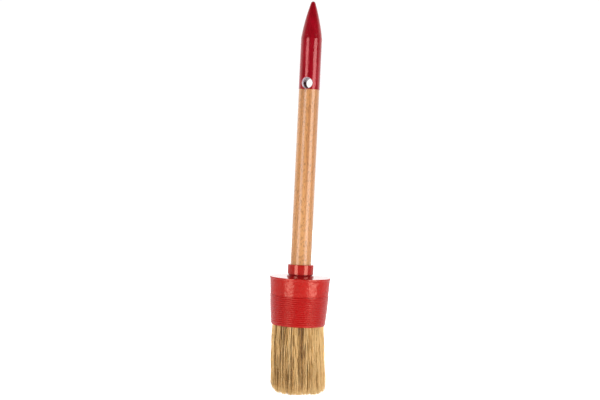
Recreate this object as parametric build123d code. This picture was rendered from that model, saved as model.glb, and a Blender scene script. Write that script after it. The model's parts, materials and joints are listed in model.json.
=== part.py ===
"""Round bristle paint brush with a turned wooden handle and a moulded plastic cup.

Millimetres. +Z runs up the handle. The origin is at the centre of the bristle tips, on the brush's axis,
so the brush hangs with its tips at Z = 0. The hanging hole runs along Y. Every piece but the hole is turned
about Z, so each piece is drawn as a half profile in the XZ plane, as (radius, height), and revolved.
"""
from build123d import *
import os
from math import cos, radians, sin

# Driving dimensions.
NOMINAL_D = 50.0              # the brush's size: the cup's outer diameter where its ribbed band starts
OVERALL = 334.9               # bristle tips to handle tip

# Heights above the bristle tips.
CUP_MOUTH_Z = 60.4
LEDGE_Z = 86.1                # where the ribbed band gives way to the smooth band
CUP_TOP_Z = 101.3
COLLAR_BOTTOM_Z = 103.6
COLLAR_TOP_Z = 111.9
DIP_LINE_Z = 260.6
HOLE_Z = 265.8
SHOULDER_Z = 303.6            # where the handle starts to taper to its point

# Handle.
HANDLE_R = 8.75
TIP_R = 1.8                   # radius of the small ball that rounds off the point
TIP_SIDE_DEG = 18.0           # slope of the point's side where it meets that ball
POINT_BULGE = 0.75            # how far the point's side bows out from a straight cone
ROOT_END_Z = 65.5
ROOT_END_R = 5.6
ROOT_CHAMFER = 1.5

# Dipped paint and hanging hole.
COAT = 0.2
HOLE_R = 4.5                  # inside the paint
HOLE_EDGE_R = 0.45            # rounding of the painted mouths

# Cup.
NECK_R = 9.9                  # the groove under the collar
FOOT_R = 11.4                 # the neck flares out to this foot on the top plate
FOOT_H = 0.9                  # height of the foot's upright side
FLARE_H = 1.9                 # height of foot and flare together
COLLAR_R = 11.0
COLLAR_EDGE = 0.25
LEAD_IN = 0.4                 # chamfer where the handle enters the collar
LIP_R = 25.95
LIP_FOOT_R = 25.9             # the lip's side leans out a little towards the top
LIP_H = 1.3
LIP_COVE = 1.0
LIP_EDGE = 0.12
BAND_TOP_R = 25.45
COVE_BOW = 0.1                # how far the cove under the lip has swung out near its top
BAND_FOOT_R = 24.7
RING_H = 0.75                 # the plain ring between the smooth band's foot and the top rib
RING_FOOT = 0.1
RING_CHAMFER = 0.16           # height of the ring's bevelled top edge
MOUTH_R = 22.7                # outer radius of the cup at its mouth, before the rounded corner
MOUTH_CORNER = 0.8
RIB_COUNT = 14
RIB_DEPTH = 0.45
RIB_BAND_BULGE = 0.22         # how far the ribbed band's side bows out from a straight cone
CAVITY_TOP_Z = 98.6
CAVITY_TOP_R = 22.8
CAVITY_MOUTH_R = 21.7
SOCKET_CLEARANCE = 0.05       # glue gap between the handle and the neck's bore

# Bristles and their resin.
SETTING_BOTTOM_Z = 79.5
TUFT_TIP_R = 23.1
TUFT_TIP_ROUND = 4.5          # the outer bristles are shorter, which rounds off the cut end
TUFT_BOW = 0.25               # how far the tuft's side bows out
GAP = 0.1                     # space kept between the tuft and the pieces it lies against


def at_height(low, high, z):
    """Radius at height z on the straight line from low to high, both given as (radius, height)."""
    return low[0] + (high[0] - low[0]) * (z - low[1]) / (high[1] - low[1])


def bowed(start, end, bulge, curve=ThreePointArc):
    """A curve from start to end whose middle stands bulge outside the straight line."""
    middle = (start[0] + end[0]) / 2 + bulge, (start[1] + end[1]) / 2
    return curve(start, middle, end)


def turned(*edges):
    """Revolves a closed half profile, drawn as (radius, height), about Z."""
    with BuildPart() as part:
        with BuildSketch(Plane.XZ):
            with BuildLine():
                for edge in edges:
                    add(edge)
            make_face()
        revolve(axis=Axis.Z)
    return part.part


def hole(radius):
    """The hanging hole as a long cylinder along Y."""
    return Pos(0, 0, HOLE_Z) * Rot(90, 0, 0) * Cylinder(radius, 4 * HANDLE_R)


def root_radius(z):
    """Radius of the handle's tapered root at height z inside the cup."""
    return at_height((ROOT_END_R, ROOT_END_Z), (HANDLE_R, CAVITY_TOP_Z), z)


def on_tip(angle, skin):
    """The (radius, height) at an angle up from level on the ball that rounds off the point."""
    ball_z = OVERALL - COAT - TIP_R
    reach = TIP_R + skin
    return reach * cos(radians(angle)), ball_z + reach * sin(radians(angle))


def handle_blank(skin=0.0):
    """The handle without its hole, from the root's chamfered end to the tip, with its sides and point
    grown outwards by skin."""
    chamfer_top = ROOT_END_Z + ROOT_CHAMFER
    shoulder = HANDLE_R + skin, SHOULDER_Z
    return turned(
        bowed(shoulder, on_tip(TIP_SIDE_DEG, skin), POINT_BULGE, Spline),
        ThreePointArc(*(on_tip(angle, skin) for angle in (TIP_SIDE_DEG, 60, 90))),
        Polyline(
            on_tip(90, skin),
            (0, ROOT_END_Z),
            (ROOT_END_R - ROOT_CHAMFER, ROOT_END_Z),
            (root_radius(chamfer_top), chamfer_top),
            (HANDLE_R + skin, CAVITY_TOP_Z),
            shoulder,
        ),
    )


def make_handle():
    return handle_blank() - hole(HOLE_R + COAT)


def make_dip_coat():
    """The paint film: over the dipped end and through the hole, rounded where it turns into the hole."""
    above_line = Pos(0, 0, (DIP_LINE_Z + OVERALL) / 2 + 5) * Box(40, 40, OVERALL - DIP_LINE_Z + 10)
    painted = (handle_blank(COAT) & above_line) - hole(HOLE_R)
    mouths = [edge for edge in painted.edges() if edge.is_closed and edge.geom_type == GeomType.BSPLINE]
    return fillet(mouths, HOLE_EDGE_R) - make_handle()


def rib_edges():
    """The ribs, one arc each, from the mouth's corner up to the plain ring, and their two ends."""
    low_z, high_z = CUP_MOUTH_Z + MOUTH_CORNER, LEDGE_Z - RING_H
    low = MOUTH_R, low_z
    high = NOMINAL_D / 2 - RIB_DEPTH, high_z
    bounds = []
    for n in range(RIB_COUNT + 1):
        along = n / RIB_COUNT
        z = low_z + along * (high_z - low_z)
        bow = 4 * RIB_BAND_BULGE * along * (1 - along)
        bounds.append((at_height(low, high, z) + bow, z))
    return [bowed(a, b, RIB_DEPTH) for a, b in zip(bounds, bounds[1:])], bounds[0], bounds[-1]


def rounded(start, end):
    """A quarter round from start to end on a convex outside corner."""
    corner = max(start[0], end[0]), start[1] if start[0] < end[0] else end[1]
    middle = tuple(0.15 * (a + b) + 0.7 * c for a, b, c in zip(start, end, corner))
    return ThreePointArc(start, middle, end)


def make_cup():
    """The cup with its neck collar, in one moulding, open at the mouth and bored for the handle."""
    ribs, ribs_foot, ribs_head = rib_edges()
    bore = HANDLE_R + SOCKET_CLEARANCE
    lip_foot_z = CUP_TOP_Z - LIP_H
    band_head = BAND_TOP_R, lip_foot_z - LIP_COVE
    ring_r = NOMINAL_D / 2
    lip_foot = LIP_FOOT_R, lip_foot_z
    lip_side = LIP_R, CUP_TOP_Z - LIP_EDGE
    lip_top = LIP_R - LIP_EDGE, CUP_TOP_Z
    return turned(
        rounded((MOUTH_R - MOUTH_CORNER, CUP_MOUTH_Z), ribs_foot),
        *ribs,
        Polyline(
            ribs_head,
            (ring_r, ribs_head[1] + RING_FOOT),
            (ring_r, LEDGE_Z - RING_CHAMFER),
            (BAND_FOOT_R, LEDGE_Z),
            band_head,
        ),
        ThreePointArc(band_head, (BAND_TOP_R + COVE_BOW, lip_foot_z - 0.4 * LIP_COVE), lip_foot),
        Line(lip_foot, lip_side),
        rounded(lip_side, lip_top),
        Polyline(
            lip_top,
            (FOOT_R, CUP_TOP_Z),
            (FOOT_R, CUP_TOP_Z + FOOT_H),
            (NECK_R, CUP_TOP_Z + FLARE_H),
            (NECK_R, COLLAR_BOTTOM_Z),
            (COLLAR_R - COLLAR_EDGE, COLLAR_BOTTOM_Z),
            (COLLAR_R, COLLAR_BOTTOM_Z + COLLAR_EDGE),
            (COLLAR_R, COLLAR_TOP_Z - COLLAR_EDGE),
            (COLLAR_R - COLLAR_EDGE, COLLAR_TOP_Z),
            (bore + LEAD_IN, COLLAR_TOP_Z),
            (bore, COLLAR_TOP_Z - LEAD_IN),
            (bore, CAVITY_TOP_Z),
            (CAVITY_TOP_R, CAVITY_TOP_Z),
            (CAVITY_MOUTH_R, CUP_MOUTH_Z),
            (MOUTH_R - MOUTH_CORNER, CUP_MOUTH_Z),
        ),
    )


def cavity_radius(z):
    return at_height((CAVITY_MOUTH_R, CUP_MOUTH_Z), (CAVITY_TOP_R, CAVITY_TOP_Z), z)


def make_setting():
    """The resin block: a ring that fills the cup's upper part, round the handle's root."""
    return turned(
        Polyline(
            (root_radius(SETTING_BOTTOM_Z), SETTING_BOTTOM_Z),
            (cavity_radius(SETTING_BOTTOM_Z), SETTING_BOTTOM_Z),
            (CAVITY_TOP_R, CAVITY_TOP_Z),
            (HANDLE_R, CAVITY_TOP_Z),
            (root_radius(SETTING_BOTTOM_Z), SETTING_BOTTOM_Z),
        )
    )


def make_tuft():
    """The bristles as one closed form: a ring round the root inside the cup, closed below the root."""
    mouth = CAVITY_MOUTH_R - GAP, CUP_MOUTH_Z
    side_foot = TUFT_TIP_R, TUFT_TIP_ROUND
    cut_edge = TUFT_TIP_R - TUFT_TIP_ROUND, 0
    corner_mid = 0.3 * TUFT_TIP_ROUND
    chamfer_top = ROOT_END_Z + ROOT_CHAMFER
    return turned(
        bowed(mouth, side_foot, TUFT_BOW, Spline),
        ThreePointArc(side_foot, (TUFT_TIP_R - corner_mid, corner_mid), cut_edge),
        Polyline(
            cut_edge,
            (0, 0),
            (0, ROOT_END_Z - GAP),
            (ROOT_END_R - ROOT_CHAMFER + GAP, ROOT_END_Z - GAP),
            (root_radius(chamfer_top) + GAP, chamfer_top),
            (root_radius(SETTING_BOTTOM_Z) + GAP, SETTING_BOTTOM_Z),
            (cavity_radius(SETTING_BOTTOM_Z) - GAP, SETTING_BOTTOM_Z),
            mouth,
        ),
    )


PIECES = {
    "handle": make_handle,
    "handle_dip_coat": make_dip_coat,
    "ferrule_cup": make_cup,
    "bristle_setting": make_setting,
    "bristle_tuft": make_tuft,
}

os.makedirs("parts", exist_ok=True)
for name, make in PIECES.items():
    export_step(make(), f"parts/{name}.step")
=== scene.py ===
"""Looks and studio for the round paint brush.

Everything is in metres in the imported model's own frame: +Z runs up the handle, the bristle tips are at
Z = 0, and the hanging hole runs along Y. The handle, the paint film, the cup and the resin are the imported
model's own pieces with better materials. The plain solid that stands for the bristles is replaced by
separate strands.
"""

import json
from math import cos, pi, radians, sin

import bpy
import numpy as np
from mathutils import Matrix, Vector


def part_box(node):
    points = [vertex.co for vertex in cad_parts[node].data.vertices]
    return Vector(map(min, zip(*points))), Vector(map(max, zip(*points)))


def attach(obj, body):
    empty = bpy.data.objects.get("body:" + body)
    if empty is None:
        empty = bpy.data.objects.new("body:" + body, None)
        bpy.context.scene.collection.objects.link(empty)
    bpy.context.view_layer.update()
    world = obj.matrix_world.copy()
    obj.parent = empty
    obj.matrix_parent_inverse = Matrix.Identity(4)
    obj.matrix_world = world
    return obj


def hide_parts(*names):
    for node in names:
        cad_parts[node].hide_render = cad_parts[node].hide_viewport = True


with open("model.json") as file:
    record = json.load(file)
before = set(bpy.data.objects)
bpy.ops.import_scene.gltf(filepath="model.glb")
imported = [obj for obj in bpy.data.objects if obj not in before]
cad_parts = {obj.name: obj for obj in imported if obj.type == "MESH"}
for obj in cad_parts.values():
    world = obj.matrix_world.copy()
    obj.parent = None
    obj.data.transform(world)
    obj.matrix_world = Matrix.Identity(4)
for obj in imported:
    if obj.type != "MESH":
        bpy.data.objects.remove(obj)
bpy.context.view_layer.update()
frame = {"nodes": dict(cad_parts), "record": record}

MM = 0.001
MOUNTS = {mount["name"]: mount for mount in frame["record"]["mounts"]}
CUP_LOW, CUP_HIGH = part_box("ferrule_cup")
TUFT_LOW, TUFT_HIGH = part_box("bristle_tuft")
MOUTH_Z = CUP_LOW.z
LEDGE_Z = CUP_HIGH.z - 25.8 * MM         # top of the ribbed band
TOP_PLATE_Z = CUP_HIGH.z - 10.6 * MM     # upper face of the top plate
COLLAR_Z = CUP_HIGH.z - 8.3 * MM         # underside of the collar
DIP_LINE_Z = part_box("handle_dip_coat")[0].z
HOLE_AT = Vector(MOUNTS["hang_hole"]["pos_m"])
HOLE_R = MOUNTS["hang_hole"]["dims"]["r_mm"] * MM
TUFT_TIP_R = TUFT_HIGH.x

# Camera.
CAMERA_SIDE = radians(15.5)    # turned about the brush, from -Y towards +X
CAMERA_AWAY = 1.2735
CAMERA_Z = 0.2175
LOOK_DOWN = radians(2.29)
LEAN = radians(2.72)           # how far the brush leans to the right in the picture
AXIS_RIGHT = 3.30 * MM         # how far right of the picture's centre the brush stands
LENS = 90

# Studio.
FLOOR_Z = -0.35
FLOOR_REACH = 8.0
BACKDROP_LEVEL = 1.65          # light from behind the brush
ROOM_LEVEL = 0.10              # light from behind the camera
SEEN_LEVEL = 1.05              # how bright the surroundings look to the camera
BACKDROP_EDGE = -0.7           # cosine of the angle to the camera's side where the backdrop's level ends
ROOM_EDGE = 0.4                # cosine where the room's level starts
LIGHT_AWAY = 1.0
LIGHT_LOW_Z = -0.15
LIGHT_TOP_Z = 0.56
LIGHTS = {                     # degrees to the right of the camera, width in metres, watts
    "left_light": (-40, 0.48, 5.8),
    "right_light": (50, 0.58, 7.2),
}
WHITE = (1.0, 1.0, 1.0, 1.0)

# Bristles.
SEED = 11
STRANDS = 18000
STRAND_PIECES = 8
STRAND_STEPS = 12              # straight stretches from root to tip
STRAND_SIDES = 3
ROOT_R = 21.55 * MM            # radius of the bundle where it leaves the cup
ROOT_DEPTH = 3.0 * MM          # how far up inside the mouth the strands start
STRAND_R = 0.13 * MM
THINNING = 0.75                # share of its thickness that a strand loses towards its tip
TIPS_SHARE = 0.985             # how far out the outermost tips stand, as a share of the tuft's radius
FLARE = TIPS_SHARE * TUFT_TIP_R / ROOT_R - 1
JITTER = 0.28                  # how far strands and locks stray from an even pattern, in spacings
SWEEP = 2.5 * MM               # how far the tips have set towards the camera's right
SMALL_LOCK = 0.80 * MM         # spacing of the small locks
BIG_LOCK = 5.0 * MM            # spacing of the big locks
PULL_SMALL = 0.40, 0.80        # least and most share of the way that strands draw in to a small lock
PULL_BIG = 0.22                # the same for small locks and their big lock
LEAN_SMALL = 0.55 * MM         # how far tips lean at random: small locks, big locks, single strands
LEAN_BIG = 0.5 * MM
LEAN_OWN = 0.22 * MM
STRAY_SHARE = 0.03             # share of strands that stray
STRAY_TIMES = 5                # how many times further they lean
SWAY_SMALL = 0.22 * MM         # how far small locks and single strands wave on their way down
SWAY_OWN = 0.14 * MM
PARTINGS = (                   # degrees to the right of the camera, half width in mm, share of the length
    (11.5, 0.55, 0.75),
    (-38, 0.35, 0.6),
    (52, 0.3, 0.5),
    (160, 0.5, 0.7),
    (-120, 0.4, 0.6),
)
PARTING_REACH = 1.1 * MM       # how far to each side of a parting the strands are pushed

# Cut end of the bristles.
TIP_ROUND = 3.825 * MM         # how much shorter the outermost strands are
TIP_ROUND_LEFT = 1.8 * MM      # how much more that is at the camera's left, and less at the right
ROUND_FROM = 0.62              # share of the radius where the rounding starts
UNEVEN_OWN = 2.3 * MM          # how much shorter strands and locks are at random
UNEVEN_SMALL = 0.7 * MM
UNEVEN_BIG = 0.9 * MM
RIGHT_SHORT = 1.0 * MM         # how much shorter the camera's right half is
SHORT_FROM = 0.05              # share of the radius, right of the axis, where that starts
SHORT_FADE = 0.3

# Tones of the bristles, from 0, darkest, to 1, palest.
BRISTLE_DARK = np.array((0.20, 0.085, 0.018))
BRISTLE_MID = np.array((0.67, 0.37, 0.105))
BRISTLE_PALE = np.array((0.97, 0.67, 0.300))
SHADES = 9
TONE = 0.745                   # average at the root
TONE_SMALL = 0.38              # random spread between small locks, big locks and single strands
TONE_BIG = 0.05
TONE_OWN = 0.22
TONE_PATCHY = 0.20             # how far a small lock's tone swings along its length
PAINTED_SHADE_AT = -33                 # degrees to the right of the camera where the tuft is painted darkest, a painted shade
PAINTED_SHADE_WIDTH = 27               # degrees to each side
PAINTED_SHADE_DEPTH = 0.24
PAINTED_RIM_LIGHT = 0.30               # how much paler the two sides are painted, a painted rim light
RIM_LIGHT_FROM = 55                 # degrees from the camera where that starts
RIM_LIGHT_FADE = 15
TIP_PALE = 0.30                # how much paler the tips are
WORN_FROM = 0.80               # share of the length where that starts
LENGTH_PALE = 0.10             # how much paler a strand grows from root to tip


# Materials ----------------------------------------------------------------------------------------------

class Nodes:
    """A material's node tree, with short calls for the nodes that the materials below share."""

    def __init__(self, name):
        self.material = bpy.data.materials.new(name)
        self.material.use_nodes = True
        self.tree = self.material.node_tree
        self.shader = self.tree.nodes["Principled BSDF"]

    def new(self, kind, **settings):
        node = self.tree.nodes.new(kind)
        for name, value in settings.items():
            setattr(node, name, value)
        return node

    def link(self, output, socket):
        self.tree.links.new(output, socket)

    def set(self, **values):
        """Sets the shader's own sockets, named with underscores for spaces."""
        for name, value in values.items():
            self.shader.inputs[name.replace("_", " ")].default_value = value

    def places(self, scale):
        """The point on the object in metres, stretched by scale along X, Y and Z."""
        where = self.new("ShaderNodeTexCoord")
        mapping = self.new("ShaderNodeMapping")
        mapping.inputs["Scale"].default_value = scale
        self.link(where.outputs["Object"], mapping.inputs["Vector"])
        return mapping.outputs["Vector"]

    def noise(self, scale, detail, distortion=0.0):
        node = self.new("ShaderNodeTexNoise")
        node.inputs["Scale"].default_value = 1.0
        node.inputs["Detail"].default_value = detail
        node.inputs["Roughness"].default_value = 0.5
        node.inputs["Distortion"].default_value = distortion
        self.link(self.places(scale), node.inputs["Vector"])
        return node.outputs["Fac"]

    def ramp(self, value, *stops):
        """Colours by value; stops are (place, (red, green, blue))."""
        node = self.new("ShaderNodeValToRGB")
        elements = node.color_ramp.elements
        while len(elements) < len(stops):
            elements.new(0.5)
        for element, (place, colour) in zip(elements, stops):
            element.position = place
            element.color = (*colour, 1.0)
        self.link(value, node.inputs["Fac"])
        return node.outputs["Color"]

    def fit(self, value, low, high, to_low=0.0, to_high=1.0):
        """Maps value from low..high to to_low..to_high, clamped."""
        node = self.new("ShaderNodeMapRange")
        node.inputs["From Min"].default_value = low
        node.inputs["From Max"].default_value = high
        node.inputs["To Min"].default_value = to_low
        node.inputs["To Max"].default_value = to_high
        self.link(value, node.inputs["Value"])
        return node.outputs["Result"]

    def maths(self, operation, a, b):
        node = self.new("ShaderNodeMath", operation=operation)
        for socket, value in zip(node.inputs, (a, b)):
            if isinstance(value, (int, float)):
                socket.default_value = value
            else:
                self.link(value, socket)
        return node.outputs["Value"]

    def mix(self, share, below, above):
        """Colour below with colour above laid over it by share. Colours may be sockets or numbers."""
        node = self.new("ShaderNodeMix", data_type="RGBA")
        self.link(share, node.inputs[0])
        for socket, value in zip(node.inputs[6:8], (below, above)):
            if isinstance(value, tuple):
                socket.default_value = (*value, 1.0)
            else:
                self.link(value, socket)
        return node.outputs[2]

    def at(self, axis):
        """One coordinate of the point on the object, in metres."""
        where = self.new("ShaderNodeTexCoord")
        split = self.new("ShaderNodeSeparateXYZ")
        self.link(where.outputs["Object"], split.inputs["Vector"])
        return split.outputs[axis]

    def bump(self, value, distance, strength=1.0):
        node = self.new("ShaderNodeBump")
        node.inputs["Distance"].default_value = distance
        node.inputs["Strength"].default_value = strength
        self.link(value, node.inputs["Height"])
        self.link(node.outputs["Normal"], self.shader.inputs["Normal"])


def wood():
    """Pale hardwood with long growth bands and short dark flecks, under clear lacquer. It is a little paler
    towards the cup."""
    m = Nodes("lacquered_wood")
    paler = m.fit(m.at("Z"), CUP_HIGH.z, DIP_LINE_Z, 0.05, -0.05)
    bands = m.maths("ADD", m.noise((300, 300, 6), detail=3, distortion=0.3), paler)
    tone = m.ramp(
        bands,
        (0.34, (0.40, 0.144, 0.033)),
        (0.48, (0.55, 0.226, 0.058)),
        (0.64, (0.63, 0.285, 0.085)),
    )
    fibres = m.fit(m.noise((1500, 1500, 60), detail=2), 0.35, 0.70)
    tone = m.mix(m.maths("MULTIPLY", fibres, 0.30), tone, (0.66, 0.33, 0.125))
    flecks = m.fit(m.noise((1000, 1000, 400), detail=2), 0.52, 0.64)
    tone = m.mix(m.maths("MULTIPLY", flecks, 0.65), tone, (0.28, 0.105, 0.022))
    m.link(smudged_below_dip(m, tone), m.shader.inputs["Base Color"])
    m.link(m.fit(fibres, 0, 1, 0.42, 0.55), m.shader.inputs["Roughness"])
    m.set(Coat_Weight=0.7, Coat_Roughness=0.17, Coat_IOR=1.5)
    m.bump(m.maths("ADD", flecks, fibres), -0.08 * MM, 0.8)
    return m.material


def smudged_below_dip(m, tone):
    """The wood's colour with a small dark patch just below the dip line, on the front under the hole and
    towards the left."""
    height = 1.6 * MM
    to_left = 1.6 * MM
    below = m.fit(m.at("Z"), DIP_LINE_Z - height, DIP_LINE_Z)
    aside = m.maths("ABSOLUTE", m.maths("ADD", m.at("X"), to_left), 0.0)
    near = m.fit(aside, 0.8 * MM, 2.8 * MM, 1.0, 0.0)
    front = m.fit(m.at("Y"), -5 * MM, -6 * MM)
    share = m.maths("MULTIPLY", m.maths("MULTIPLY", below, near), front)
    return m.mix(m.maths("MULTIPLY", share, 0.8), tone, (0.12, 0.03, 0.015))


def in_hole(m):
    """Share of the hole's lining in a surface: 1 inside the hole, 0 outside."""
    away = m.new("ShaderNodeCombineXYZ")
    m.link(m.at("X"), away.inputs["X"])
    m.link(m.maths("SUBTRACT", m.at("Z"), HOLE_AT.z), away.inputs["Z"])
    length = m.new("ShaderNodeVectorMath", operation="LENGTH")
    m.link(away.outputs["Vector"], length.inputs[0])
    return m.fit(length.outputs["Value"], HOLE_R + 0.35 * MM, HOLE_R + 0.1 * MM)


def dip_paint():
    """Thick gloss crimson paint, a little uneven. Inside the hole it is painted pale, a painted reflection,
    and in the lower part beyond the front mouth it is painted dark, a painted shade, and matt."""
    m = Nodes("dip_paint")
    patches = m.noise((240, 240, 60), detail=2)
    tone = m.ramp(patches, (0.35, (0.25, 0.0008, 0.006)), (0.65, (0.32, 0.0012, 0.010)))
    inside = in_hole(m)
    deep = m.fit(m.at("Y"), -4.0 * MM, -2.0 * MM)
    low = m.fit(m.at("Z"), HOLE_AT.z + 2.5 * MM, HOLE_AT.z + 0.5 * MM)
    dull_shade = m.maths("MULTIPLY", inside, m.maths("MULTIPLY", deep, low))
    # Painted reflection: the hole's lining is painted pale lavender grey.
    tone = m.mix(inside, tone, (0.60, 0.48, 0.56))
    # Painted shade: the lower part of the lining beyond the front mouth is painted dark.
    tone = m.mix(dull_shade, tone, (0.10, 0.012, 0.016))
    m.link(tone, m.shader.inputs["Base Color"])
    rough = m.mix(dull_shade, m.fit(patches, 0.3, 0.7, 0.11, 0.19), (0.8, 0.8, 0.8))
    m.link(rough, m.shader.inputs["Roughness"])
    rim = m.new("ShaderNodeLayerWeight")
    shine = m.fit(rim.outputs["Facing"], 0.35, 0.95, 0.78, 0.12)
    m.link(m.maths("MULTIPLY", shine, m.fit(dull_shade, 0, 1, 1, 0.1)), m.shader.inputs["Specular IOR Level"])
    m.set(Specular_Tint=(1.0, 0.46, 0.45, 1.0))
    waves = m.maths("ADD", m.noise((420, 420, 200), detail=1), m.noise((900, 900, 700), detail=1))
    m.bump(waves, 0.11 * MM)
    return m.material


def red_plastic():
    """Moulded scarlet plastic with a rippled gloss. It is duller on the ribs, smoother and glossier from the
    top plate up, and painted dark as painted shade in the recess under the collar."""
    m = Nodes("red_plastic")
    clouds = m.noise((60, 60, 60), detail=2)
    smooth = m.ramp(clouds, (0.35, (0.42, 0.0034, 0.0034)), (0.65, (0.46, 0.0045, 0.0040)))
    ribbed = m.fit(m.at("Z"), LEDGE_Z + 0.1 * MM, LEDGE_Z - 0.1 * MM)
    above = m.fit(m.at("Z"), TOP_PLATE_Z, TOP_PLATE_Z + 0.4 * MM)
    # Painted shade: the recess between the top plate and the collar is painted dark maroon, with less shine.
    groove_shade = m.maths("MULTIPLY", above, m.fit(m.at("Z"), COLLAR_Z + 0.1 * MM, COLLAR_Z - 0.1 * MM))
    # Painted shade: the ribbed band's colour is a touch darker than the smooth band's.
    tone = m.mix(ribbed, smooth, (0.42, 0.0035, 0.0045))
    m.link(m.mix(groove_shade, tone, (0.30, 0.007, 0.009)), m.shader.inputs["Base Color"])
    upper = m.fit(m.at("Z"), TOP_PLATE_Z - 0.2 * MM, TOP_PLATE_Z - 0.05 * MM)
    grain = m.noise((900, 900, 900), detail=2)
    rough = m.maths("ADD", m.fit(grain, 0.3, 0.7, 0.19, 0.26), m.maths("MULTIPLY", ribbed, 0.08))
    m.link(m.maths("SUBTRACT", rough, m.maths("MULTIPLY", upper, 0.08)), m.shader.inputs["Roughness"])
    shine = m.maths("SUBTRACT", m.fit(ribbed, 0, 1, 0.85, 0.65), m.maths("MULTIPLY", groove_shade, 0.30))
    m.link(shine, m.shader.inputs["Specular IOR Level"])
    m.set(Specular_Tint=(1.0, 0.52, 0.40, 1.0))
    ripple = m.maths("MULTIPLY", m.noise((330, 330, 450), detail=2), m.fit(upper, 0, 1, 1, 0.1))
    m.bump(ripple, 0.36 * MM)
    return m.material


def resin():
    """Amber setting resin, out of sight inside the cup."""
    m = Nodes("setting_resin")
    tone = m.ramp(m.noise((200, 200, 200), detail=3), (0.3, (0.30, 0.17, 0.05)), (0.7, (0.45, 0.29, 0.11)))
    m.link(tone, m.shader.inputs["Base Color"])
    m.set(Roughness=0.35)
    return m.material


def bristle_shades():
    """Hog bristle from brown to pale blond. A strand is too thin for a pattern, so each of its stretches
    takes one of these shades."""
    shades = []
    for n in range(SHADES):
        along = n / (SHADES - 1)
        if along < 0.5:
            colour = BRISTLE_DARK + (BRISTLE_MID - BRISTLE_DARK) * along * 2
        else:
            colour = BRISTLE_MID + (BRISTLE_PALE - BRISTLE_MID) * (along * 2 - 1)
        m = Nodes(f"hog_bristle_{n + 1}")
        m.set(Base_Color=(*colour, 1.0), Roughness=0.42, IOR=1.5, Specular_IOR_Level=0.45)
        shades.append(m.material)
    return shades


def dress(node, material):
    """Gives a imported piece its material."""
    for slot in frame["nodes"][node].material_slots:
        slot.link = "OBJECT"
        slot.material = material


# Bristles -----------------------------------------------------------------------------------------------

def spread(rng, spacing, radius):
    """Points scattered over a disc at about one per spacing squared, in a jittered sunflower pattern."""
    count = int(pi * (radius / spacing) ** 2)
    r = radius * np.sqrt((np.arange(count) + 0.5) / count)
    turn = np.arange(count) * pi * (3 - 5 ** 0.5)
    points = np.stack((r * np.cos(turn), r * np.sin(turn)), axis=1)
    return points + rng.normal(0, JITTER * spacing, points.shape)


def nearest(points, centres):
    """For each point, the index of the nearest centre. Points go in blocks, which saves memory."""
    found = np.empty(len(points), int)
    at_once = 2000
    for start in range(0, len(points), at_once):
        block = points[start:start + at_once]
        gaps = ((block[:, None] - centres[None]) ** 2).sum(axis=2)
        found[start:start + at_once] = gaps.argmin(axis=1)
    return found


class Bundle:
    """Where the strands leave the cup, and which small lock and big lock each belongs to."""

    def __init__(self, rng):
        root = spread(rng, ROOT_R * (pi / STRANDS) ** 0.5, ROOT_R)
        self.root = root * np.minimum(1, ROOT_R / np.hypot(*root.T))[:, None]
        self.away = np.hypot(*self.root.T)
        self.turn = np.arctan2(self.root[:, 1], self.root[:, 0])
        self.small = spread(rng, SMALL_LOCK, ROOT_R)
        self.big = spread(rng, BIG_LOCK, ROOT_R)
        self.small_of = nearest(self.root, self.small)
        self.big_of_small = nearest(self.small, self.big)
        self.big_of = self.big_of_small[self.small_of]
        self.right = np.array((cos(CAMERA_SIDE), sin(CAMERA_SIDE)))
        self.across = self.root @ self.right / ROOT_R

    def around(self, side):
        """How far each strand is turned, from -pi to pi, past the place side degrees right of the camera."""
        middle = CAMERA_SIDE - pi / 2 + radians(side)
        return (self.turn - middle + pi) % (2 * pi) - pi


def partings(bundle, t):
    """Sideways shift that parts the bundle in a few places, widest at the cup."""
    shift = np.zeros((len(bundle.root), len(t), 2))
    sideways = np.stack((-np.sin(bundle.turn), np.cos(bundle.turn)), axis=1)
    for side, width, length in PARTINGS:
        arc = bundle.around(side) * bundle.away
        push = np.sign(arc) * width * MM * np.exp(-(arc / PARTING_REACH) ** 2)
        fade = np.clip(1 - t / length, 0, 1)
        shift += (push[:, None] * fade[None])[:, :, None] * sideways[:, None]
    return shift


def sway(rng, count, amount, t):
    """A random wave for each of count strands or locks, as (strand, point, XY): 1.2 to 3.2 turns long, and
    half to one and a half times amount wide."""
    phase = rng.random((count, 2)) * 2 * pi
    turns = 1.2 + 2.0 * rng.random((count, 2))
    size = amount * (0.5 + rng.random((count, 2)))
    swing = np.sin(phase[:, None] + turns[:, None] * 2 * pi * t[None, :, None]) * size[:, None]
    return swing * np.minimum(1, 3 * t)[None, :, None]


def strand_paths(rng, bundle, t):
    """X and Y of all strands at the shares t of their length, as (strand, point, XY). Locks draw together
    soon below the cup, and their lean and the tips' set come in lower down."""
    root, small, big = bundle.root, bundle.small, bundle.big
    count, smalls, bigs = len(root), len(small), len(big)
    least, most = PULL_SMALL
    pull = least + (most - least) * rng.random(smalls)
    to_small = (small[bundle.small_of] - root) * pull[bundle.small_of][:, None]
    to_big = (big[bundle.big_of_small] - small)[bundle.small_of] * PULL_BIG
    lean = rng.normal(0, LEAN_SMALL, (smalls, 2))[bundle.small_of]
    lean = lean + rng.normal(0, LEAN_BIG, (bigs, 2))[bundle.big_of]
    own = rng.normal(0, LEAN_OWN, (count, 2))
    own[rng.random(count) < STRAY_SHARE] *= STRAY_TIMES

    xy = root[:, None] * (1 + FLARE * np.sin(t * pi / 2) ** 0.5)[None, :, None]
    xy = xy + to_small[:, None] * np.sqrt(t)[None, :, None]
    xy = xy + (to_big + lean + own)[:, None] * (t ** 1.8)[None, :, None]
    xy = xy + sway(rng, smalls, SWAY_SMALL, t)[bundle.small_of]
    xy = xy + sway(rng, count, SWAY_OWN, t)
    xy = xy + partings(bundle, t)
    return xy + SWEEP * (t ** 1.7)[None, :, None] * bundle.right


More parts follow.
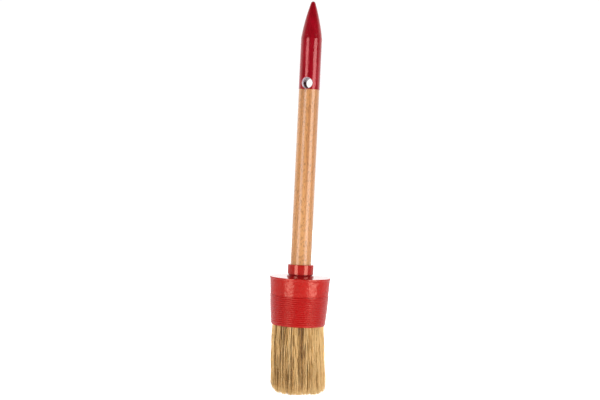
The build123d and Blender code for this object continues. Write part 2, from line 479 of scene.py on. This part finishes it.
def tip_heights(rng, bundle):
    """Height of each strand's tip: uneven, rounded off at the rim, and shorter on the camera's right."""
    rim = np.clip((bundle.away / ROOT_R - ROUND_FROM) / (1 - ROUND_FROM), 0, 1) ** 2
    rounding = rim * (TIP_ROUND - TIP_ROUND_LEFT * bundle.across)
    uneven = rng.exponential(UNEVEN_OWN, len(bundle.root))
    uneven += np.abs(rng.normal(0, UNEVEN_SMALL, len(bundle.small)))[bundle.small_of]
    uneven += np.abs(rng.normal(0, UNEVEN_BIG, len(bundle.big)))[bundle.big_of]
    short = RIGHT_SHORT * np.clip((bundle.across - SHORT_FROM) / SHORT_FADE, 0, 1)
    return TUFT_LOW.z + rounding + uneven + short


def strand_tones(rng, bundle, t):
    """Tone of each stretch of each strand, as (strand, stretch)."""
    middle = (t[:-1] + t[1:]) / 2
    smalls = len(bundle.small)
    tone = TONE + rng.normal(0, TONE_SMALL, smalls)[bundle.small_of]
    tone = tone + rng.normal(0, TONE_BIG, len(bundle.big))[bundle.big_of]
    tone = tone + rng.normal(0, TONE_OWN, len(bundle.root))
    turns = 1 + 3 * rng.random((smalls, 1))
    phase = rng.random((smalls, 1))
    patchy = TONE_PATCHY * np.sin(2 * pi * (turns * middle[None] + phase))

    around = np.degrees(bundle.around(0))
    # Painted shade: the tuft's front at the camera's left is painted darker.
    tone = tone - PAINTED_SHADE_DEPTH * np.exp(-((around - PAINTED_SHADE_AT) / PAINTED_SHADE_WIDTH) ** 4)
    # Painted rim light: the tuft's two sides, seen from the camera, are painted paler.
    tone = tone + PAINTED_RIM_LIGHT * np.clip((np.abs(around) - RIM_LIGHT_FROM) / RIM_LIGHT_FADE, 0, 1)
    worn = TIP_PALE * np.clip((middle - WORN_FROM) / (1 - WORN_FROM), 0, 1)
    return tone[:, None] + patchy[bundle.small_of] + LENGTH_PALE * middle[None] + worn[None]


def strand_lines(rng):
    """Centre lines of all strands as (strand, point, XYZ), each stretch's tone, and each one's big lock."""
    bundle = Bundle(rng)
    t = np.linspace(0, 1, STRAND_STEPS + 1)
    xy = strand_paths(rng, bundle, t)
    top_z = MOUTH_Z + ROOT_DEPTH
    z = top_z + (tip_heights(rng, bundle) - top_z)[:, None] * t[None]
    tone = strand_tones(rng, bundle, t)
    return np.concatenate((xy, z[:, :, None]), axis=2), tone, bundle.big_of


def strand_mesh(name, lines, tone, shades):
    """One mesh of closed, tapering three-sided strands."""
    count, rings = lines.shape[:2]
    thick = STRAND_R * (1 - THINNING * np.linspace(0, 1, rings) ** 3)
    turn = np.arange(STRAND_SIDES) * 2 * pi / STRAND_SIDES
    ring = np.stack((np.cos(turn), np.sin(turn), 0 * turn), axis=1)
    points = lines[:, :, None] + thick[None, :, None, None] * ring[None, None]
    points = points.reshape(count, rings * STRAND_SIDES, 3)

    side = np.arange(STRAND_SIDES)
    beside = (side + 1) % STRAND_SIDES
    quads = []
    for n in range(rings - 1):
        top = n * STRAND_SIDES
        low = top + STRAND_SIDES
        quads.append(np.stack((top + side, low + side, low + beside, top + beside), axis=1))
    quads = np.concatenate(quads)
    ends = np.array((side, (rings - 1) * STRAND_SIDES + side[::-1]))
    first = (np.arange(count) * rings * STRAND_SIDES)[:, None, None]
    loops = np.concatenate(((quads + first).ravel(), (ends + first).ravel()))
    sizes = np.concatenate((np.full(count * len(quads), 4), np.full(count * 2, STRAND_SIDES)))

    mesh = bpy.data.meshes.new(name)
    mesh.vertices.add(points.size // 3)
    mesh.vertices.foreach_set("co", points.ravel())
    mesh.loops.add(len(loops))
    mesh.loops.foreach_set("vertex_index", loops)
    mesh.polygons.add(len(sizes))
    mesh.polygons.foreach_set("loop_start", np.concatenate(((0,), sizes.cumsum()[:-1])))
    shade = np.clip(tone * SHADES, 0, SHADES - 1).astype(int)
    per_side = np.repeat(shade, STRAND_SIDES, axis=1).ravel()
    per_end = shade[:, (0, -1)].ravel()
    mesh.polygons.foreach_set("material_index", np.concatenate((per_side, per_end)))
    for material in shades:
        mesh.materials.append(material)
    mesh.update(calc_edges=True)
    mesh.validate()
    mesh.shade_smooth()
    piece = bpy.data.objects.new(name, mesh)
    bpy.context.scene.collection.objects.link(piece)
    return piece


def make_bristles():
    """The bundle, in a few pieces of whole big locks and about one size, so that no mesh is too heavy."""
    rng = np.random.default_rng(SEED)
    lines, tone, lock = strand_lines(rng)
    shades = bristle_shades()
    sizes = np.bincount(lock)
    piece_of = (np.cumsum(sizes) - sizes / 2) * STRAND_PIECES // len(lock)
    for n in range(STRAND_PIECES):
        mine = piece_of[lock] == n
        piece = strand_mesh(f"bristle_strands_{n + 1}", lines[mine], tone[mine], shades)
        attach(piece, "root")
        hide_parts("bristle_tuft")


# Studio -------------------------------------------------------------------------------------------------

def from_camera(side):
    """Level direction from the brush, turned by side degrees to the right of the camera."""
    turn = CAMERA_SIDE + radians(side)
    return Vector((sin(turn), -cos(turn), 0))


def make_camera():
    data = bpy.data.cameras.new("camera")
    data.lens = LENS
    data.clip_end = 50
    camera = bpy.data.objects.new("camera", data)
    bpy.context.scene.collection.objects.link(camera)
    right = Vector((cos(CAMERA_SIDE), sin(CAMERA_SIDE), 0))
    place = from_camera(0) * CAMERA_AWAY - right * AXIS_RIGHT
    place.z = CAMERA_Z
    turn = Matrix.Rotation(CAMERA_SIDE, 4, "Z")
    tilt = Matrix.Rotation(pi / 2 - LOOK_DOWN, 4, "X")
    roll = Matrix.Rotation(LEAN, 4, "Z")
    camera.matrix_world = Matrix.Translation(place) @ turn @ tilt @ roll
    bpy.context.scene.camera = camera


def softbox(name, side, width, power):
    """A soft light that faces the brush, side degrees to the right of the camera. It is low enough that the
    handle's tapered point doesn't mirror it, and reaches down far enough that the cup's smooth band does."""
    data = bpy.data.lights.new(name, "AREA")
    data.shape = "RECTANGLE"
    data.size = width
    data.size_y = LIGHT_TOP_Z - LIGHT_LOW_Z
    data.energy = power
    light = bpy.data.objects.new(name, data)
    bpy.context.scene.collection.objects.link(light)
    aim = Vector((0, 0, (LIGHT_TOP_Z + LIGHT_LOW_Z) / 2))
    place = aim + from_camera(side) * LIGHT_AWAY
    turn = (aim - place).to_track_quat("-Z", "Y").to_matrix().to_4x4()
    light.matrix_world = Matrix.Translation(place) @ turn


def make_world():
    """White all round as seen directly; as a light it is bright behind the brush and dim in front."""
    world = bpy.data.worlds.new("studio")
    bpy.context.scene.world = world
    world.use_nodes = True
    tree = world.node_tree
    new, link = tree.nodes.new, tree.links.new
    background = tree.nodes["Background"]
    where = new("ShaderNodeTexCoord")
    dot = new("ShaderNodeVectorMath")
    dot.operation = "DOT_PRODUCT"
    dot.inputs[1].default_value = from_camera(0)
    link(where.outputs["Generated"], dot.inputs[0])
    level = new("ShaderNodeMapRange")
    level.interpolation_type = "SMOOTHSTEP"
    for socket, value in zip(level.inputs[1:5], (BACKDROP_EDGE, ROOM_EDGE, BACKDROP_LEVEL, ROOM_LEVEL)):
        socket.default_value = value
    link(dot.outputs["Value"], level.inputs["Value"])
    path = new("ShaderNodeLightPath")
    strength = new("ShaderNodeMix")
    strength.inputs["B"].default_value = SEEN_LEVEL
    link(path.outputs["Is Camera Ray"], strength.inputs["Factor"])
    link(level.outputs["Result"], strength.inputs["A"])
    link(strength.outputs["Result"], background.inputs["Strength"])
    background.inputs["Color"].default_value = WHITE


def make_floor():
    """A plain white floor well below the hanging brush."""
    mesh = bpy.data.meshes.new("floor")
    corners = [(x * FLOOR_REACH, y * FLOOR_REACH, FLOOR_Z) for x, y in ((-1, -1), (1, -1), (1, 1), (-1, 1))]
    mesh.from_pydata(corners, [], [(0, 1, 2, 3)])
    floor = bpy.data.objects.new("floor", mesh)
    bpy.context.scene.collection.objects.link(floor)
    m = Nodes("floor_white")
    m.set(Base_Color=(0.9, 0.9, 0.9, 1.0), Roughness=0.9)
    path = m.new("ShaderNodeLightPath")
    m.set(Emission_Color=WHITE)
    m.link(path.outputs["Is Camera Ray"], m.shader.inputs["Emission Strength"])
    mesh.materials.append(m.material)


def make_studio():
    make_world()
    make_floor()
    for name, (side, width, power) in LIGHTS.items():
        softbox(name, side, width, power)
    bpy.context.scene.view_settings.view_transform = "Standard"


make_camera()
make_studio()
dress("handle", wood())
dress("handle_dip_coat", dip_paint())
dress("ferrule_cup", red_plastic())
dress("bristle_setting", resin())
make_bristles()
